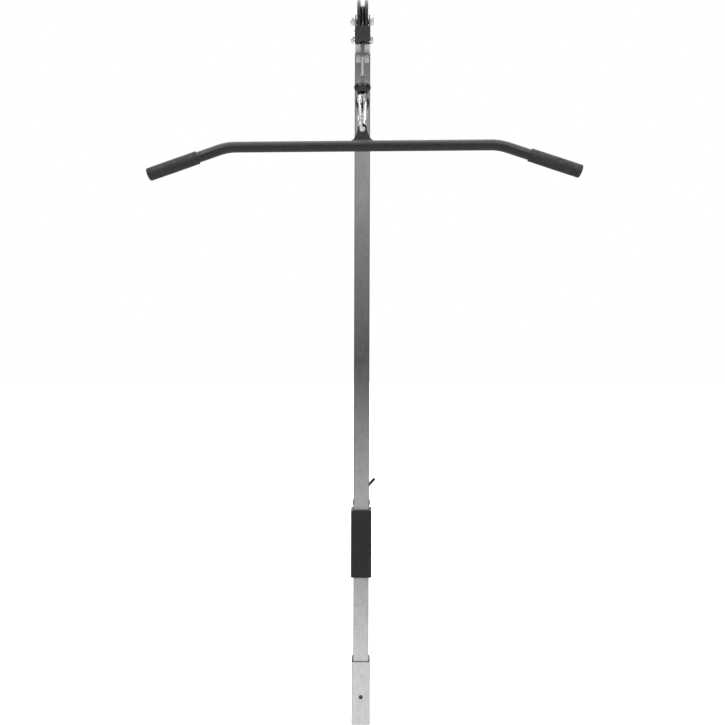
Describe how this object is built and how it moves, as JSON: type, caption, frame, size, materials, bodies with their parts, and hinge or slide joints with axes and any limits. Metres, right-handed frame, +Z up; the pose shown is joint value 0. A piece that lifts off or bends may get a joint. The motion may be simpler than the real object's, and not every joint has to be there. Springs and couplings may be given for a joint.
{
  "type": "lat pulldown tower",
  "caption": "Square upright with a high pulley boom, a sliding weight carriage with a loading horn, and a cable that ends in a curved pulldown bar.",
  "frame": {"origin": "centre of the bottom end of the base stub, where it stands in its receiver", "axes": "+Z up along the upright, -Y towards the user, +X to the right seen from the front"},
  "size_m": [1.0302, 0.4442, 1.746],
  "materials": {
    "chrome_tube": "chrome plated tube with slight waviness",
    "bare_steel": "plain steel",
    "black_nylon": "moulded nylon, low gloss",
    "zinc_plate": "bright zinc plate",
    "black_powder_coat": "satin black powder coat",
    "coated_cable": "steel strand under a smoky grey coating",
    "black_rubber": "matt rubber"
  },
  "bodies": {
    "tower": {"base_stub": "chrome_tube", "stub_shim": "black_nylon", "upright_post": "chrome_tube", "boom_spigot": "bare_steel", "spigot_screw": "zinc_plate", "carriage_stop_pin": "zinc_plate", "boom_tube": "chrome_tube", "front_fork": "black_powder_coat", "rear_fork": "black_powder_coat", "front_axle_bolt": "zinc_plate", "front_lock_nut": "zinc_plate", "front_bearing": "bare_steel", "front_spacer_left": "zinc_plate", "front_spacer_right": "zinc_plate", "front_washer_left": "zinc_plate", "front_washer_right": "zinc_plate", "rear_axle_bolt": "zinc_plate", "rear_lock_nut": "zinc_plate", "rear_bearing": "bare_steel", "rear_spacer_left": "zinc_plate", "rear_spacer_right": "zinc_plate", "rear_washer_left": "zinc_plate", "rear_washer_right": "zinc_plate", "cable_top_run": "coated_cable", "cable_front_run": "coated_cable", "cable_rear_run": "coated_cable"},
    "carriage": {"carriage_sleeve": "black_powder_coat", "upper_glide": "black_nylon", "lower_glide": "black_nylon", "weight_horn": "chrome_tube", "horn_end_cap": "black_nylon", "horn_stop_ring": "black_powder_coat", "cable_arm": "black_powder_coat", "rear_shackle": "zinc_plate", "rear_shackle_pin": "zinc_plate", "rear_thimble": "zinc_plate", "rear_cable_loop": "coated_cable", "rear_ferrule": "bare_steel"},
    "collar": {"spring_collar": "bare_steel", "collar_grip_left": "black_rubber", "collar_grip_right": "black_rubber"},
    "pulley_front": {"front_pulley": "black_nylon"},
    "pulley_rear": {"rear_pulley": "black_nylon"},
    "cable_end": {"front_ferrule": "zinc_plate", "stop_ball": "black_nylon"},
    "carabiner": {"carabiner_body": "zinc_plate", "carabiner_pin": "bare_steel", "front_cable_loop": "bare_steel"},
    "gate": {"carabiner_gate": "zinc_plate"},
    "lat_bar": {"lat_bar_tube": "black_powder_coat", "bar_lug": "black_powder_coat", "left_grip": "black_rubber", "right_grip": "black_rubber"}
  },
  "joints": [
    {"name": "carriage_slide", "type": "slide", "parent": "tower", "child": "carriage", "axis": [0, 0, 1], "range_m": [0, 0.9], "deforming": ["cable_rear_run"]},
    {"name": "hook_slide", "type": "slide", "parent": "tower", "child": "cable_end", "axis": [0, 0, 1], "range_m": [-0.9, 0], "deforming": ["cable_front_run"]},
    {"name": "front_pulley_spin", "type": "hinge", "parent": "tower", "child": "pulley_front", "pos_m": [0, -0.034, 1.7], "axis": [1, 0, 0], "continuous": true},
    {"name": "rear_pulley_spin", "type": "hinge", "parent": "tower", "child": "pulley_rear", "pos_m": [0, 0.064, 1.7], "axis": [1, 0, 0], "continuous": true},
    {"name": "collar_slide", "type": "slide", "parent": "carriage", "child": "collar", "axis": [0, 0.9744, 0.225], "range_m": [-0.05, 0.17]},
    {"name": "carabiner_swivel", "type": "hinge", "parent": "cable_end", "child": "carabiner", "pos_m": [0, -0.0665, 1.5], "axis": [0, 0, 1], "range_deg": [-35, 35]},
    {"name": "gate_hinge", "type": "hinge", "parent": "carabiner", "child": "gate", "pos_m": [-0.00643, -0.07967, 1.492], "axis": [0.8988, -0.4384, 0], "range_deg": [0, 14], "stiffness_Nm_per_rad": 0.2, "springref_deg": -5.73},
    {"name": "bar_tilt", "type": "hinge", "parent": "carabiner", "child": "lat_bar", "pos_m": [0, -0.0665, 1.4295], "axis": [0.0384, 0.9993, 0], "range_deg": [-20, 20]}
  ],
  "couplings": [
    {"joint": "hook_slide", "follows": "carriage_slide", "ratio": -1},
    {"joint": "front_pulley_spin", "follows": "carriage_slide", "rad_per_m": 30.769},
    {"joint": "rear_pulley_spin", "follows": "carriage_slide", "rad_per_m": 30.769}
  ]
}
